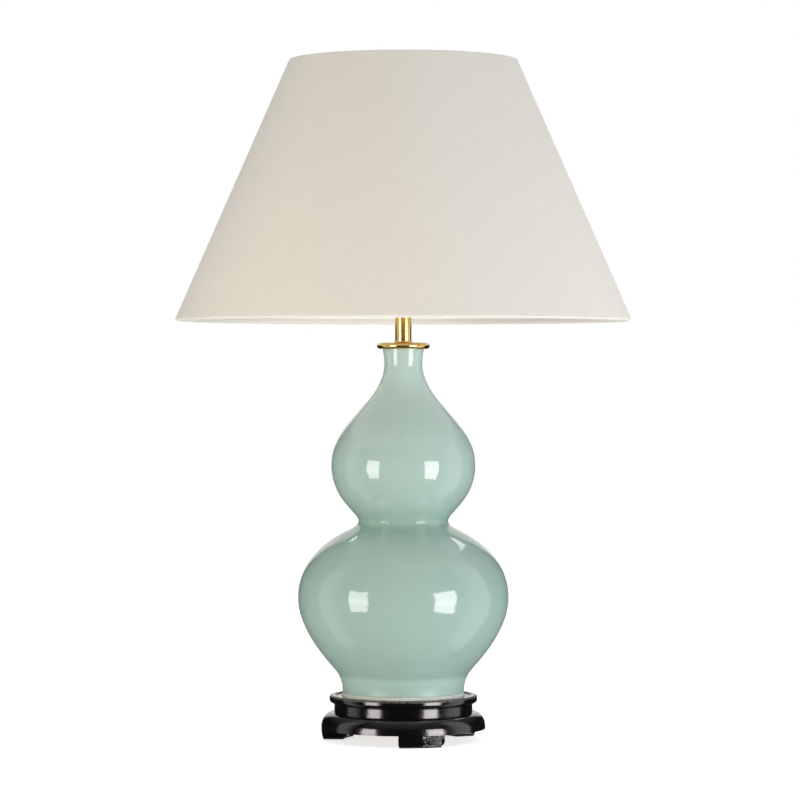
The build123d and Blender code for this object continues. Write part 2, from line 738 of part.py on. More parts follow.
def carrier_leg(angle):
    """A bent wire from the base ring, out round the bulb and up to the top ring."""
    start_z = CARRIER_Z + CARRIER_RING_T / 2
    path = FilletPolyline(
        (CARRIER_RING_OUT_R - WIRE_R, start_z),
        (CARRIER_KNEE_R, start_z + CARRIER_KNEE_H),
        (CARRIER_TOP_R, CARRIER_TOP_Z),
        radius=CARRIER_KNEE_BEND,
    )
    leg = wire(Plane.XZ * path) - carrier_base_ring() - carrier_top_ring()
    leg = leg.solids().sort_by(SortBy.VOLUME)[-1]
    return Rot(0, 0, angle) * leg


# ---- Shade

SLANT = hypot(SHADE_BOTTOM_R - SHADE_TOP_R, SHADE_H)
SLANT_TILT = atan2(SHADE_BOTTOM_R - SHADE_TOP_R, SHADE_H)
WIRE_DEPTH = FABRIC_T + BACKING_T + 2 * BOND_GAP + WIRE_R + BOND_GAP
WIRE_INSET = FABRIC_T + WIRE_R + BOND_GAP


def on_shade(up, deep):
    """Radius and height of a point a distance up the shade's side and a depth inside it."""
    radius = SHADE_BOTTOM_R - up * sin(SLANT_TILT) - deep * cos(SLANT_TILT)
    height = SHADE_Z + up * cos(SLANT_TILT) - deep * sin(SLANT_TILT)
    return (radius, height)


def hem(from_edge):
    """Outline of a hem folded round its ring wire, from the outer skin round to the inner one."""
    fold_r = WIRE_R + BOND_GAP
    outer_fold_r = fold_r + FABRIC_T
    glued = FABRIC_T + BACKING_T + 2 * BOND_GAP
    slope_end = WIRE_INSET + HEM_SLOPE
    diagonal = sin(radians(45))

    def point(up, deep):
        return on_shade(from_edge(up), deep)

    def bend(radius, up_share, deep_share):
        return point(WIRE_INSET + radius * up_share, WIRE_DEPTH + radius * deep_share)

    return [
        ThreePointArc(
            point(FABRIC_T, 0),
            point(FABRIC_T * (1 - diagonal), FABRIC_T * (1 - diagonal)),
            point(0, FABRIC_T),
        ),
        Line(point(0, FABRIC_T), bend(outer_fold_r, -1, 0)),
        ThreePointArc(
            bend(outer_fold_r, -1, 0), bend(outer_fold_r, -diagonal, diagonal), bend(outer_fold_r, 0, 1)
        ),
        Polyline(
            bend(outer_fold_r, 0, 1),
            point(slope_end, glued + FABRIC_T),
            point(HEM_W, glued + FABRIC_T),
            point(HEM_W, glued),
            point(slope_end, glued),
            bend(fold_r, 1, 0),
        ),
        ThreePointArc(bend(fold_r, 1, 0), bend(fold_r, 0, 1), bend(fold_r, -1, 0)),
        Line(bend(fold_r, -1, 0), point(FABRIC_T, FABRIC_T)),
    ]


def shade_cover():
    """The fabric: one skin, turned in over the ring wires at both edges and notched at the arms."""
    top_edge = SLANT
    skin = [
        Line(on_shade(FABRIC_T, 0), on_shade(top_edge - FABRIC_T, 0)),
        Line(on_shade(FABRIC_T, FABRIC_T), on_shade(top_edge - FABRIC_T, FABRIC_T)),
    ]
    fabric = turned(*skin, *hem(lambda up: up), *hem(lambda up: top_edge - up))
    return fabric - [arm_wire(angle, WIRE_R + ARM_NOTCH_FIT) for angle in arm_angles()]


def shade_backing():
    """The stiff sheet that the fabric is bonded to."""
    outside = FABRIC_T + BOND_GAP
    inside = outside + BACKING_T
    low = FABRIC_T + BOND_GAP
    high = SLANT - low
    return turned(
        Polyline(
            on_shade(low, outside),
            on_shade(high, outside),
            on_shade(high, inside),
            on_shade(low, inside),
            close=True,
        )
    )


def ring_wire(up):
    radius, height = on_shade(up, WIRE_DEPTH)
    return Pos(0, 0, height) * Torus(radius, WIRE_R)


def shade_bottom_ring():
    return ring_wire(WIRE_INSET)


def shade_top_ring():
    return ring_wire(SLANT - WIRE_INSET)


def shade_fitter():
    """The ring that sits on the carrier, with a lip round the carrier's top ring."""
    top = FITTER_Z + FITTER_T
    lip_z = FITTER_Z - FITTER_LIP_H
    return turned(
        Polyline(
            (FITTER_IN_R, FITTER_Z),
            (FITTER_LIP_IN_R, FITTER_Z),
            (FITTER_LIP_IN_R, lip_z),
            (FITTER_OUT_R, lip_z),
            (FITTER_OUT_R, top),
            (FITTER_IN_R, top),
            close=True,
        )
    )


def arm_angles():
    return [FRONT + 180 / SHADE_ARMS + 360 / SHADE_ARMS * i for i in range(SHADE_ARMS)]


def arm_wire(angle, radius=WIRE_R):
    """A straight wire from the fitter's rim up to the top ring wire."""
    end_r, end_z = on_shade(SLANT - WIRE_INSET, WIRE_DEPTH)
    start = (FITTER_OUT_R - FITTER_T / 2, FITTER_Z - FITTER_LIP_H / 4)
    return Rot(0, 0, angle) * wire(Plane.XZ * Line(start, (end_r, end_z)), radius)


def shade_arm(angle):
    arm = arm_wire(angle) - shade_fitter() - shade_top_ring()
    return arm.solids().sort_by(SortBy.VOLUME)[-1]


pieces = {
    "foot_pads": foot_pads(),
    "stand_apron": stand_apron(),
    "stand_waist": stand_waist(),
    "stand_plate": stand_plate(),
    "base_cover": base_cover(),
    "base_cover_screws": base_cover_screws(),
    "cable_bush": cable_bush(),
    "base_washer": base_washer(),
    "base_nut": base_nut(),
    "vase_gasket": vase_gasket(),
    "vase": vase(),
    "neck_bung": neck_bung(),
    "vase_cap": vase_cap(),
    "threaded_tube": threaded_tube(),
    "stem_tube": stem_tube(),
    "holder_cup": holder_cup(),
    "holder_insert": holder_insert(),
    "holder_shell": holder_shell(),
    "screw_shell": screw_shell(),
    "centre_contact": centre_contact(),
    "shade_ring_lower": shade_ring_lower(),
    "shade_ring_upper": shade_ring_upper(),
    "switch_bar": switch_bar(),
    "bulb_contact": bulb_contact(),
    "bulb_insulator": bulb_insulator(),
    "bulb_cap": bulb_cap(),
    "bulb_housing": bulb_housing(),
    "bulb_dome": bulb_dome(),
    "carrier_base_ring": carrier_base_ring(),
    "carrier_top_ring": carrier_top_ring(),
    "shade_cover": shade_cover(),
    "shade_backing": shade_backing(),
    "shade_bottom_ring": shade_bottom_ring(),
    "shade_top_ring": shade_top_ring(),
    "shade_fitter": shade_fitter(),
}
for i in range(FOOT_COUNT):
    pieces[f"stand_foot_{i + 1}"] = stand_foot(FRONT + 360 / FOOT_COUNT * i)
for i in range(CARRIER_LEGS):
    pieces[f"carrier_leg_{i + 1}"] = carrier_leg(FRONT + 360 / CARRIER_LEGS * i)
for i, arm_angle in enumerate(arm_angles()):
    pieces[f"shade_arm_{i + 1}"] = shade_arm(arm_angle)

os.makedirs("parts", exist_ok=True)
for name, piece in pieces.items():
    export_step(piece, f"parts/{name}.step")
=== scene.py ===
import json
import math
from functools import partial

import bmesh
import bpy
import numpy as np
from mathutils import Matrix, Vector


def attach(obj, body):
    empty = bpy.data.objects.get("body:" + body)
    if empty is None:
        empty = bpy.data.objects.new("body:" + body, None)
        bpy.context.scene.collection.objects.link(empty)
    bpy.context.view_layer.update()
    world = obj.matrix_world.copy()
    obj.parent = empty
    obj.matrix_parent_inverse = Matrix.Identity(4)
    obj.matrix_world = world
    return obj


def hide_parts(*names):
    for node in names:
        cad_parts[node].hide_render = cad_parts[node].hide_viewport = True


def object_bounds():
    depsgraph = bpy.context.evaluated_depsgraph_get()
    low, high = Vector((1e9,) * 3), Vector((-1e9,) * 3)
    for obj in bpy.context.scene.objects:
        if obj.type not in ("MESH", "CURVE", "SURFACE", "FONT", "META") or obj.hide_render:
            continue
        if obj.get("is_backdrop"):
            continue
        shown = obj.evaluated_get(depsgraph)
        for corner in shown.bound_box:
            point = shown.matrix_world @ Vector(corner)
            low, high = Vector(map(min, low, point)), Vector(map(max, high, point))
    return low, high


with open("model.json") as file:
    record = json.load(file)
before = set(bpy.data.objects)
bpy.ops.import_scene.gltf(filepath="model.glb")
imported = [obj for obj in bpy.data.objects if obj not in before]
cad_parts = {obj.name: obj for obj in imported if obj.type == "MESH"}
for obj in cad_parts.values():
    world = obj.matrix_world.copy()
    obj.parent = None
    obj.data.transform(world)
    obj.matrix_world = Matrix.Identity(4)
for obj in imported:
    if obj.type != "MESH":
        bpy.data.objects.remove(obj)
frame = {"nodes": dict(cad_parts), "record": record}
size_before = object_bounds()
nodes = frame["nodes"]
scene = bpy.context.scene

MM = 0.001
TAU = 2 * math.pi
VIEW_TURN = math.radians(13.3)  # the camera stands a little to the left of the front foot
TO_CAMERA = Vector((-math.sin(VIEW_TURN), -math.cos(VIEW_TURN), 0))
TO_RIGHT = Vector((math.cos(VIEW_TURN), -math.sin(VIEW_TURN), 0))


# ---- Shader helpers


def feed(tree, socket, value):
    """Link a shader input to another node's output, or set it to a plain value."""
    if isinstance(value, bpy.types.NodeSocket):
        tree.links.new(value, socket)
    else:
        socket.default_value = value


def add_node(tree, kind, values=None, **settings):
    """A new shader node with its settings, and its inputs fed."""
    made = tree.nodes.new(kind)
    for key, value in settings.items():
        setattr(made, key, value)
    for key, value in (values or {}).items():
        feed(tree, made.inputs[key], value)
    return made


class Paint:
    """A material, its principled shader and short ways to add nodes to it."""

    def __init__(self, name, color=(0.8, 0.8, 0.8), roughness=0.5, metallic=0.0):
        self.material = bpy.data.materials.new(name)
        self.material.use_nodes = True
        self.tree = self.material.node_tree
        self.node = partial(add_node, self.tree)
        self.shader = self.tree.nodes["Principled BSDF"]
        self.set("Base Color", (*color, 1))
        self.set("Roughness", roughness)
        self.set("Metallic", metallic)
        self.where = self.node("ShaderNodeTexCoord").outputs["Object"]

    def set(self, socket, value):
        feed(self.tree, self.shader.inputs[socket], value)

    def noise(self, scale, detail, roughness, where=None):
        values = {
            "Vector": where or self.where,
            "Scale": scale,
            "Detail": detail,
            "Roughness": roughness,
        }
        return self.node("ShaderNodeTexNoise", values).outputs["Fac"]

    def stretched(self, x, y, z, where=None):
        values = {"Vector": where or self.where, "Scale": (x, y, z)}
        return self.node("ShaderNodeMapping", values).outputs["Vector"]

    def ramp(self, factor, low, high, from_value=0.0, to_value=1.0):
        values = {0: factor, 1: low, 2: high, 3: from_value, 4: to_value}
        return self.node("ShaderNodeMapRange", values).outputs[0]

    def math(self, operation, a, b=0.0):
        return self.node("ShaderNodeMath", {0: a, 1: b}, operation=operation).outputs[0]

    def mix(self, factor, a, b):
        values = {0: factor, 6: color4(a), 7: color4(b)}
        return self.node("ShaderNodeMix", values, data_type="RGBA").outputs[2]

    def part(self, axis, where=None):
        values = {0: where or self.where}
        return self.node("ShaderNodeSeparateXYZ", values).outputs[axis]

    def bump(self, height, distance, normal=None, strength=1.0):
        values = {"Height": height, "Distance": distance, "Strength": strength}
        if normal is not None:
            values["Normal"] = normal
        return self.node("ShaderNodeBump", values).outputs[0]


def color4(value):
    if isinstance(value, bpy.types.NodeSocket):
        return value
    return (*value, 1)


# ---- Mesh helpers


def new_object(name, verts, faces, materials, smooth=True):
    """An object in the scene with a mesh of the given points and faces."""
    mesh = bpy.data.meshes.new(name)
    mesh.from_pydata([tuple(v) for v in verts], [], faces)
    mesh.update()
    obj = bpy.data.objects.new(name, mesh)
    scene.collection.objects.link(obj)
    for material in materials:
        mesh.materials.append(material)
    if smooth:
        mesh.polygons.foreach_set("use_smooth", [True] * len(mesh.polygons))
    return obj


def revolved(name, outline, turns, paints, slots=None):
    """A mesh turned about Z through the given angles from a closed outline of (radius, height)."""
    outline = np.asarray(outline, float)
    count = len(outline)
    segments = len(turns)
    verts = np.empty((segments, count, 3))
    verts[:, :, 0] = np.cos(turns)[:, None] * outline[None, :, 0]
    verts[:, :, 1] = np.sin(turns)[:, None] * outline[None, :, 0]
    verts[:, :, 2] = outline[None, :, 1]
    faces = []
    for i in range(segments):
        here = i * count
        there = (i + 1) % segments * count
        for j in range(count):
            k = (j + 1) % count
            faces.append((here + j, there + j, there + k, here + k))
    obj = new_object(name, verts.reshape(-1, 3), faces, [paint.material for paint in paints])
    if slots is not None:
        obj.data.polygons.foreach_set("material_index", list(slots) * segments)
    return obj


# ---- Materials


def glaze_paint():
    """Pale green celadon: deeper in the waist, paler in a band at the foot, and paler up the crown,
    where the paler tone is a painted reflection of the shade's lit inside.
    """
    p = Paint("glaze", roughness=0.07)
    height = p.part("Z")
    soft = p.noise(9, 3, 0.55)
    fine = p.noise(70, 5, 0.6)
    cloud = p.math("ADD", p.math("MULTIPLY", soft, 0.75), p.math("MULTIPLY", fine, 0.25))
    tone = p.mix(p.ramp(cloud, 0.36, 0.64), (0.332, 0.465, 0.416), (0.363, 0.496, 0.451))
    near_waist = p.ramp(p.math("ABSOLUTE", p.math("SUBTRACT", height, 0.2150)), 0.0, 0.017, 1, 0)
    tone = p.mix(p.math("MULTIPLY", near_waist, 0.50), tone, (0.258, 0.420, 0.340))
    # painted light: the crown is made paler, a painted reflection of the shade's lit inside
    crown = p.ramp(height, 0.215, 0.335, 0, 0.55)
    tone = p.mix(crown, tone, (0.485, 0.605, 0.565))
    band = p.ramp(height, 0.0640, 0.0665, 0.45, 0.0)
    tone = p.mix(band, tone, (0.440, 0.640, 0.570))
    specks = p.ramp(p.noise(900, 2, 0.5), 0.70, 0.78)
    tone = p.mix(p.math("MULTIPLY", specks, 0.10), tone, (0.30, 0.36, 0.28))
    p.set("Base Color", tone)
    thin = p.ramp(height, 0.0600, 0.0690, 0.31, 0.0)
    p.set("Roughness", p.math("ADD", thin, p.ramp(fine, 0.3, 0.7, 0.055, 0.085)))
    p.set("IOR", 1.5)
    waves = p.bump(p.noise(38, 2, 0.4), 0.0011, strength=0.5)
    ripples = p.bump(p.noise(110, 2, 0.5), 0.00016, normal=waves, strength=0.6)
    p.set("Normal", p.bump(p.noise(420, 2, 0.5), 0.00003, normal=ripples))
    return p


def clay_paint():
    """Pale unglazed clay, a little grainy."""
    p = Paint("bare_clay", roughness=0.75)
    tone = p.mix(p.noise(160, 5, 0.6), (0.70, 0.73, 0.68), (0.80, 0.82, 0.77))
    p.set("Base Color", tone)
    p.set("Normal", p.bump(p.noise(1500, 4, 0.6), 0.0002))
    return p


def lacquer_paint():
    """Black lacquer over hardwood, brown and grey where it wears through; the same grey is also a
    painted highlight along the plate's outer top edge.
    """
    p = Paint("lacquer", (0.005, 0.005, 0.006), 0.1)
    wear_and_sheen = p.node("ShaderNodeAttribute", attribute_name="wear_and_sheen").outputs["Fac"]
    tone = p.mix(p.noise(60, 4, 0.6), (0.0020, 0.0022, 0.0028), (0.0048, 0.0048, 0.0050))
    patchy = p.ramp(p.noise(520, 4, 0.7), 0.42, 0.62)
    # wear and painted highlight: where this mask is high, the lacquer is painted brown and grey
    rubbed_and_sheen = p.math("MULTIPLY", wear_and_sheen, patchy)
    tone = p.mix(rubbed_and_sheen, tone, p.mix(p.noise(300, 3, 0.6), (0.055, 0.030, 0.018), (0.16, 0.15, 0.14)))
    p.set("Base Color", tone)
    rough = p.ramp(p.noise(140, 4, 0.6), 0.3, 0.7, 0.10, 0.16)
    p.set("Roughness", p.math("ADD", rough, p.math("MULTIPLY", rubbed_and_sheen, 0.3)))
    p.set("IOR", 1.63)
    peel = p.bump(p.noise(230, 2, 0.5), 0.00012, strength=0.6)
    p.set("Normal", p.bump(p.noise(900, 3, 0.6), 0.00002, normal=peel))
    return p


def brass_paint():
    """Lacquered brass, a little stained, with fine marks from turning."""
    color, roughness = (0.83, 0.53, 0.17), 0.20
    p = Paint("brass", color, roughness, 1.0)
    stain = p.ramp(p.noise(85, 5, 0.6), 0.35, 0.7)
    dull = tuple(c * 0.80 for c in color)
    p.set("Base Color", p.mix(p.math("MULTIPLY", stain, 0.5), color, dull))
    p.set("Roughness", p.ramp(p.noise(300, 4, 0.6), 0.3, 0.7, roughness * 0.8, roughness * 1.3))
    turning = p.noise(1.0, 3, 0.6, p.stretched(18, 18, 2600))
    p.set("Normal", p.bump(turning, 0.00002))
    p.set("Coat Weight", 0.6)
    p.set("Coat Roughness", 0.04)
    return p


def felt_paint():
    p = Paint("felt", (0.03, 0.03, 0.03), 0.95)
    p.set("Base Color", p.mix(p.noise(1200, 4, 0.7), (0.02, 0.02, 0.02), (0.06, 0.06, 0.06)))
    p.set("Normal", p.bump(p.noise(2200, 4, 0.7), 0.0003))
    return p


def board_paint():
    p = Paint("board", (0.16, 0.10, 0.06), 0.7)
    fibres = p.noise(6, 6, 0.7, p.stretched(40, 200, 40))
    p.set("Base Color", p.mix(fibres, (0.12, 0.07, 0.04), (0.22, 0.14, 0.08)))
    p.set("Normal", p.bump(p.noise(1600, 4, 0.6), 0.00015))
    return p


def wood_paint():
    p = Paint("raw_wood", (0.55, 0.40, 0.25), 0.6)
    grain = p.noise(5, 6, 0.65, p.stretched(120, 120, 12))
    p.set("Base Color", p.mix(grain, (0.46, 0.31, 0.18), (0.64, 0.48, 0.31)))
    p.set("Normal", p.bump(grain, 0.0002))
    return p


def plain_paint(name, color, roughness, metallic=0.0, grain=400, spread=0.06):
    """An even surface whose tone and gloss vary a little."""
    p = Paint(name, color, roughness, metallic)
    low = tuple(c * (1 - spread) for c in color)
    high = tuple(min(1, c * (1 + spread)) for c in color)
    p.set("Base Color", p.mix(p.noise(grain / 4, 4, 0.6), low, high))
    p.set("Roughness", p.ramp(p.noise(grain, 4, 0.6), 0.3, 0.7, roughness * 0.85, roughness * 1.15))
    p.set("Normal", p.bump(p.noise(grain, 3, 0.6), 0.00005))
    return p


def cloth_paint():
    """Fine off-white cloth: warp up the shade, weft round it, with uneven threads."""
    p = Paint("shade_fabric", (0.72, 0.69, 0.63), 0.85)
    flat = p.node("ShaderNodeAttribute", attribute_name="weave").outputs["Vector"]
    across = p.part("X", flat)
    up = p.part("Y", flat)
    warp = p.math("SINE", p.math("MULTIPLY", across, TAU / 0.00062))
    weft = p.math("SINE", p.math("MULTIPLY", up, TAU / 0.00070))
    over = p.math("MULTIPLY", warp, weft)
    weft_slub = p.noise(1.0, 4, 0.6, p.stretched(35, 1500, 1, flat))
    warp_slub = p.noise(1.0, 4, 0.6, p.stretched(1700, 30, 1, flat))
    slub = p.math("ADD", weft_slub, warp_slub)
    cloud = p.noise(7, 3, 0.5)
    tone = p.mix(p.ramp(slub, 0.8, 1.2), (0.726, 0.695, 0.633), (0.780, 0.753, 0.694))
    tone = p.mix(p.math("MULTIPLY", p.ramp(cloud, 0.35, 0.65), 0.25), tone, (0.78, 0.74, 0.655))
    p.set("Base Color", tone)
    p.set("Sheen Weight", 0.08)
    height = p.math("ADD", p.math("MULTIPLY", over, 0.25), slub)
    p.set("Normal", p.bump(height, 0.00006, strength=0.6))
    return p


GLAZE = glaze_paint()
CLAY = clay_paint()
LACQUER = lacquer_paint()
CLOTH = cloth_paint()
PAINTS = {
    "felt": felt_paint(),
    "lacquer": LACQUER,
    "board": board_paint(),
    "steel": plain_paint("steel", (0.58, 0.58, 0.56), 0.32, 1.0),
    "black_plastic": plain_paint("black_plastic", (0.015, 0.015, 0.016), 0.28),
    "glaze": GLAZE,
    "raw_wood": wood_paint(),
    "brass": brass_paint(),
    "porcelain": plain_paint("porcelain", (0.82, 0.81, 0.77), 0.22, spread=0.02),
    "contact_metal": plain_paint("contact_metal", (0.75, 0.62, 0.38), 0.25, 1.0),
    "bulb_metal": plain_paint("bulb_metal", (0.72, 0.72, 0.74), 0.25, 1.0),
    "black_glass": plain_paint("black_glass", (0.01, 0.01, 0.015), 0.08),
    "white_plastic": plain_paint("white_plastic", (0.84, 0.84, 0.82), 0.32, spread=0.015),
    "opal_plastic": plain_paint("opal_plastic", (0.88, 0.87, 0.84), 0.38, spread=0.01),
    "gilt_wire": plain_paint("gilt_wire", (0.66, 0.49, 0.24), 0.27, 1.0),
    "shade_fabric": CLOTH,
    "shade_backing": plain_paint("shade_backing", (0.94, 0.925, 0.905), 0.6, spread=0.02, grain=900),
    "white_wire": plain_paint("white_wire", (0.80, 0.79, 0.76), 0.35, spread=0.03),
}
PAINTS["opal_plastic"].set("Subsurface Weight", 0.15)

for part in frame["record"]["subparts"]:
    node = nodes[part["node"]]
    node.data.materials.clear()
    node.data.materials.append(PAINTS[part["material_slot"]].material)


# ---- Vase


# Radius, height and lean of the outer wall at each station of the vase, in millimetres, and how
# far the curve follows that lean below and above the station, as shares of the rise.
VASE_STATIONS = [
    (60.80, 50.0, 0.0, 0.0, 0.316),
    (67.40, 69.0, 0.87, 0.370, 0.335),
    (105.45, 143.0, 0.0, 0.407, 0.356),
    (57.60, 209.0, -2.0, 0.590, 0.463),
    (44.95, 219.4, 0.0, 0.458, 0.125),
    (72.10, 274.5, 0.0, 0.609, 0.443),
    (19.00, 377.0, 0.0, 0.389, 0.30),
    (21.50, 393.7, 0.25, 0.45, 0.0),
]


EVEN_TURNS = np.arange(240) * TAU / 240

# The rest of the vase's section, in metres.
VASE_WALL_T = 0.0045
VASE_FOOT_R, VASE_FOOT_RING_W, VASE_FOOT_Z = 0.0608, 0.0075, 0.0436
VASE_FLOOR_LOW, VASE_FLOOR_TOP, VASE_FLOOR_FLAT_R = 0.0486, 0.0546, 0.040
VASE_FLOOR_HOLE_R = 0.00515
VASE_INNER_LOW = 0.058  # the inner wall ends here and slants to the floor
VASE_LIP_R, VASE_LIP_Z, VASE_LIP_ROUND = 0.0215, 0.3937, 0.0015
VASE_NECK_BORE_R = 0.0171
GLAZE_T = 0.00030
BARE_TO = 0.0479  # the glaze was wiped off below this height
BARE_FROM_R = 0.045  # and bare clay shows outside this radius


def vase_wall(count):
    """Evenly spaced points up the vase's outer wall, as radius and height."""
    dense = []
    t = np.linspace(0, 1, 400)[:, None]
    for low, high in zip(VASE_STATIONS, VASE_STATIONS[1:]):
        rise = high[1] - low[1]
        start, end = np.array(low[:2]), np.array(high[:2])
        leave = start + np.array([low[2], 1]) / math.hypot(low[2], 1) * low[4] * rise
        arrive = end - np.array([high[2], 1]) / math.hypot(high[2], 1) * high[3] * rise
        dense.append(
            start * (1 - t) ** 3
            + leave * 3 * t * (1 - t) ** 2
            + arrive * 3 * t**2 * (1 - t)
            + end * t**3
        )
    dense = np.vstack([dense[0]] + [d[1:] for d in dense[1:]]) * MM
    along = np.concatenate([[0], np.cumsum(np.linalg.norm(np.diff(dense, axis=0), axis=1))])
    at = np.linspace(0, along[-1], count)
    return np.stack([np.interp(at, along, dense[:, i]) for i in (0, 1)], 1)


def vase_outline():
    """The vase's closed section: bare foot, edge of the glaze, wall, lip, inner wall and floor."""
    bare_r = VASE_FOOT_R - GLAZE_T
    ring_inner_r = VASE_FOOT_R - VASE_FOOT_RING_W
    foot = [
        (ring_inner_r, VASE_FOOT_Z),
        (bare_r - 0.0008, VASE_FOOT_Z),
        (bare_r - 0.0002, VASE_FOOT_Z + 0.0002),
        (bare_r, VASE_FOOT_Z + 0.0008),
        (bare_r, BARE_TO - 0.0004),
        (bare_r, BARE_TO),
        (VASE_FOOT_R - GLAZE_T * 0.45, BARE_TO + 0.00005),
        (VASE_FOOT_R - GLAZE_T * 0.12, BARE_TO + 0.0002),
        (VASE_FOOT_R, BARE_TO + 0.0005),
        (VASE_FOOT_R, BARE_TO + 0.0013),
    ]
    wall = vase_wall(330)
    lip_r, lip_top = VASE_LIP_R - VASE_LIP_ROUND, VASE_LIP_Z + VASE_LIP_ROUND
    lip = []
    for a in np.radians(np.arange(9, 90, 9)):
        lip.append((lip_r + VASE_LIP_ROUND * math.cos(a), VASE_LIP_Z + VASE_LIP_ROUND * math.sin(a)))
    lip += [(lip_r, lip_top), (VASE_NECK_BORE_R, lip_top)]
    steps = np.diff(wall, axis=0)
    steps = np.vstack([steps, steps[-1]])
    steps /= np.linalg.norm(steps, axis=1)[:, None]
    inner = wall - np.stack([steps[:, 1], -steps[:, 0]], 1) * VASE_WALL_T
    inner = [(max(r, VASE_NECK_BORE_R), z) for r, z in inner[::-1][::6] if z > VASE_INNER_LOW]
    floor = [
        (VASE_FLOOR_FLAT_R, VASE_FLOOR_TOP),
        (VASE_FLOOR_HOLE_R, VASE_FLOOR_TOP),
        (VASE_FLOOR_HOLE_R, VASE_FLOOR_LOW),
        (ring_inner_r, VASE_FLOOR_LOW),
    ]
    return foot + [tuple(p) for p in wall] + lip + inner + floor


def make_vase():
    """The vase, glazed but for its foot."""
    outline = vase_outline()
    slots = []
    for (r0, z0), (r1, z1) in zip(outline, outline[1:] + outline[:1]):
        slots.append(1 if (z0 + z1) / 2 < BARE_TO and (r0 + r1) / 2 > BARE_FROM_R else 0)
    vase = revolved("vase_body", outline, EVEN_TURNS, [GLAZE, CLAY], slots=slots)
    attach(vase, "base")
    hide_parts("vase")


# ---- Feet


# Sizes of a foot, in millimetres.
FOOT_COUNT, FOOT_W = 3, 47.5
FOOT_TOE_R, FOOT_TUCK, FOOT_LOW, FOOT_TOP, FOOT_WIDE_Z = 82.2, 1.6, 1.2, 12.0, 14.0
FOOT_HEEL_R, FOOT_SLANT = 54.5, 5.0
FOOT_ROUND, FOOT_SHARP, FOOT_EASE = 5.0, 1.2, 0.45  # the two lower corners, and the edges
FOOT_ROWS = 46  # points up the toe
FOOT_SPAN = 2 * math.asin(FOOT_W / 2 / FOOT_TOE_R)  # turn that a foot takes up
SOFT_EDGE = math.radians(50)  # edges that turn less than this are shaded smooth

CARVED_DEPTH, RIDGE_HALF_W = 0.55, 0.85
CARVED_FROM, CARVED_TO, CARVED_LOW, CARVED_TOP = 24.6, 46.6, 1.7, 12.0
CARVED_LINES = [  # control points of the cloud scroll's ridges: across the foot and height, in mm
    [(30.4, 7.9), (32.0, 10.2), (35.6, 11.3), (38.6, 10.7)],
    [(40.2, 11.2), (42.6, 11.4), (45.2, 10.4)],
    [(34.8, 6.7), (37.2, 9.4), (41.0, 9.3), (45.8, 8.8)],
    [(37.6, 5.7), (39.2, 7.4), (42.0, 6.3), (44.2, 7.2)],
    [(34.0, 4.4), (37.2, 5.6), (40.2, 4.4), (43.4, 5.4)],
    [(33.8, 2.7), (38.0, 3.2), (41.6, 3.2), (44.6, 4.6)],
    [(32.2, 7.5), (33.2, 6.9)],
    [(31.8, 5.6), (32.6, 5.0)],
    [(29.2, 7.4), (29.9, 6.8)],
    [(26.8, 5.4), (27.4, 4.9)],
    [(27.6, 2.7), (29.2, 2.5)],
]


def carved_strokes():
    """Middle lines of the carved cloud scroll, as Bezier curves of 60 points."""
    lines = []
    t = np.linspace(0, 1, 60)[:, None]
    for controls in CARVED_LINES:
        last = len(controls) - 1
        line = np.zeros((60, 2))
        for i, control in enumerate(controls):
            line += math.comb(last, i) * t**i * (1 - t) ** (last - i) * np.array(control)
        lines.append(line)
    return lines


CARVED_STROKES = carved_strokes()


def carving(across, height):
    """Depth of the carved ground below the turned face, and how far each spot stands out of it."""
    spots = np.stack([across, height], 1)
    near = np.full(len(spots), 99.0)
    for line in CARVED_STROKES:
        for chunk in np.array_split(line, 6):
            gap = np.linalg.norm(spots[:, None] - chunk[None], axis=2).min(1)
            near = np.minimum(near, gap)
    ridge = np.clip(1 - (near / RIDGE_HALF_W) ** 2, 0, 1)
    inside = np.clip((across - CARVED_FROM) / 2.4, 0, 1) * np.clip((CARVED_TO - across) / 0.9, 0, 1)
    inside *= np.clip((height - CARVED_LOW) / 0.8, 0, 1) * np.clip((CARVED_TOP - height) / 0.5, 0, 1)
    return CARVED_DEPTH * inside * (1 - ridge), ridge * inside


def toe_radius(height):
    """Radius of the turned face that the skirt and the feet share."""
    drop = FOOT_WIDE_Z - FOOT_LOW
    bow = (FOOT_TUCK**2 + drop**2) / (2 * FOOT_TUCK)
    return FOOT_TOE_R - bow + np.sqrt(bow**2 - (FOOT_WIDE_Z - height) ** 2)


def foot_corner(across, width):
    """How far the sole is cut away upwards at a place across the foot: a round and a sharp corner."""
    up = 0.0
    for gap, radius in ((width - across, FOOT_ROUND), (across, FOOT_SHARP)):
        if gap < radius:
            up = max(up, radius - math.sqrt(radius**2 - (radius - gap) ** 2))
    return up


def foot_start(index):
    """Turn about the lamp's axis at which a foot begins."""
    return math.radians(-90 + 360 / FOOT_COUNT * index) - FOOT_SPAN / 2


def foot_places(width):
    """Places across a foot, close together at its edges and over the carving."""
    edge = FOOT_EASE * (1 - np.cos(np.linspace(0, math.pi / 2, 5)))
    plain_toe, carved_toe = np.arange(1.2, 23.4, 0.8), np.arange(23.4, width - 0.5, 0.22)
    return np.unique(np.round(np.concatenate([edge, width - edge, plain_toe, carved_toe]), 4))


